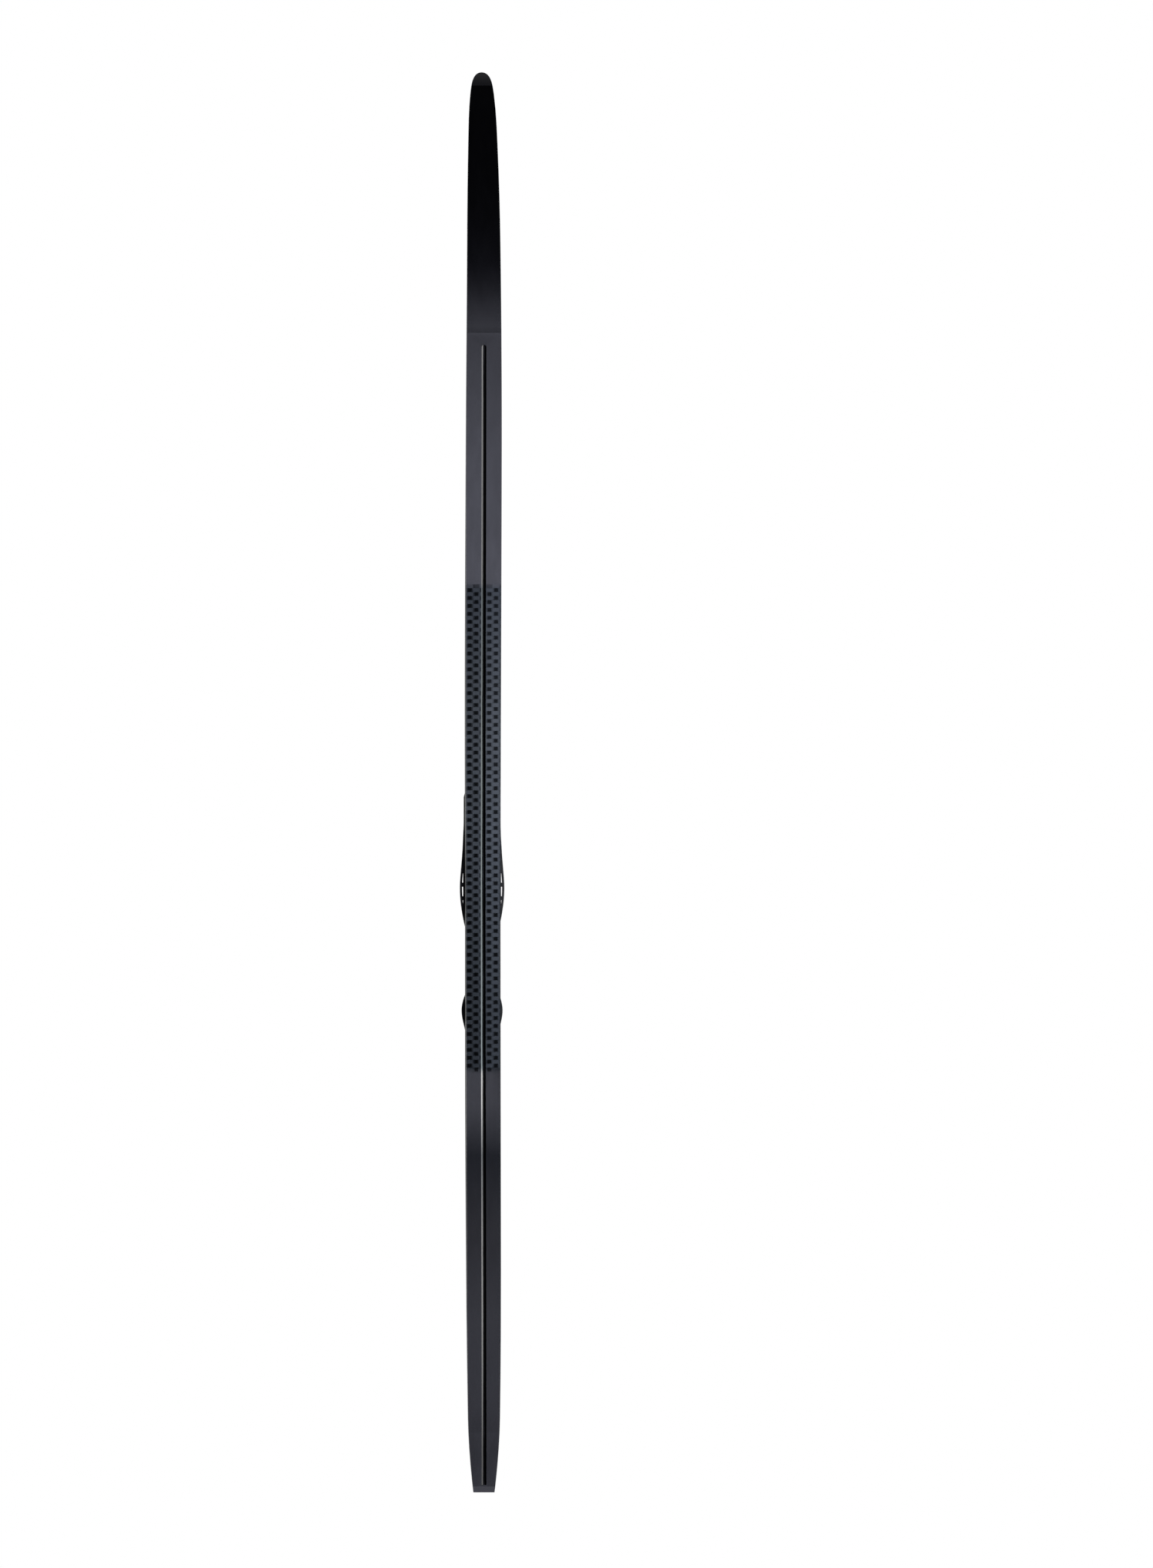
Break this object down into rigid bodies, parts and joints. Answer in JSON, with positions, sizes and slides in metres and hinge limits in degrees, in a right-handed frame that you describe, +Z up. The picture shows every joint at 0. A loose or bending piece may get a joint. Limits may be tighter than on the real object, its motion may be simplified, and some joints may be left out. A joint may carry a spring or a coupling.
{
  "type": "waxless cross-country ski with toe-bar binding",
  "caption": "Waxless classic cross-country ski: cambered laminate with grooved, fish-scale base and a screwed-on toe-bar binding whose lever slides its jaw open.",
  "frame": {"origin": "on the floor under the middle of the ski's length, the ski lying base down on its two contact lines", "axes": "+X along the ski to the tip, +Y to the left across it, +Z up from the base to the binding"},
  "size_m": [1.9, 0.0596, 0.0684],
  "materials": {
    "ski_base": "satin",
    "glass_laminate": "satin",
    "core_wood": "matte",
    "spacer_foam": "matte",
    "fibre_plate": "satin",
    "sidewall_abs": "satin",
    "top_sheet_film": "gloss",
    "guard_plastic": "matte",
    "binding_nylon": "matte",
    "lever_nylon": "satin",
    "binding_steel": "satin",
    "fastener_steel": "satin",
    "flexor_rubber": "matte",
    "pad_rubber": "matte"
  },
  "bodies": {
    "ski": {"running_base": "ski_base", "bottom_laminate": "glass_laminate", "top_laminate": "glass_laminate", "wood_core": "core_wood", "tip_spacer": "spacer_foam", "tail_spacer": "spacer_foam", "binding_reinforcement": "fibre_plate", "sidewall_left": "sidewall_abs", "sidewall_right": "sidewall_abs", "top_sheet": "top_sheet_film", "tip_guard": "guard_plastic", "tail_guard": "guard_plastic", "toe_plate": "binding_nylon", "heel_plate": "binding_nylon", "bar_seat": "binding_steel", "lever_pin": "binding_steel", "seat_rivets": "fastener_steel", "toe_screws": "fastener_steel", "heel_screws": "fastener_steel", "flexor": "flexor_rubber", "heel_pads": "pad_rubber"},
    "lever": {"lever": "lever_nylon", "lever_peg": "binding_steel"},
    "jaw": {"jaw": "binding_steel"}
  },
  "joints": [
    {"name": "lever_hinge", "type": "hinge", "parent": "ski", "child": "lever", "pos_m": [0.004, 0, 0.0615], "axis": [0, -1, 0], "range_deg": [0, 75]},
    {"name": "jaw_slide", "type": "slide", "parent": "ski", "child": "jaw", "axis": [1, 0, 0], "range_m": [0, 0.006]}
  ],
  "couplings": [
    {"joint": "lever_hinge", "follows": "jaw_slide", "rad_per_m": 218.17}
  ]
}
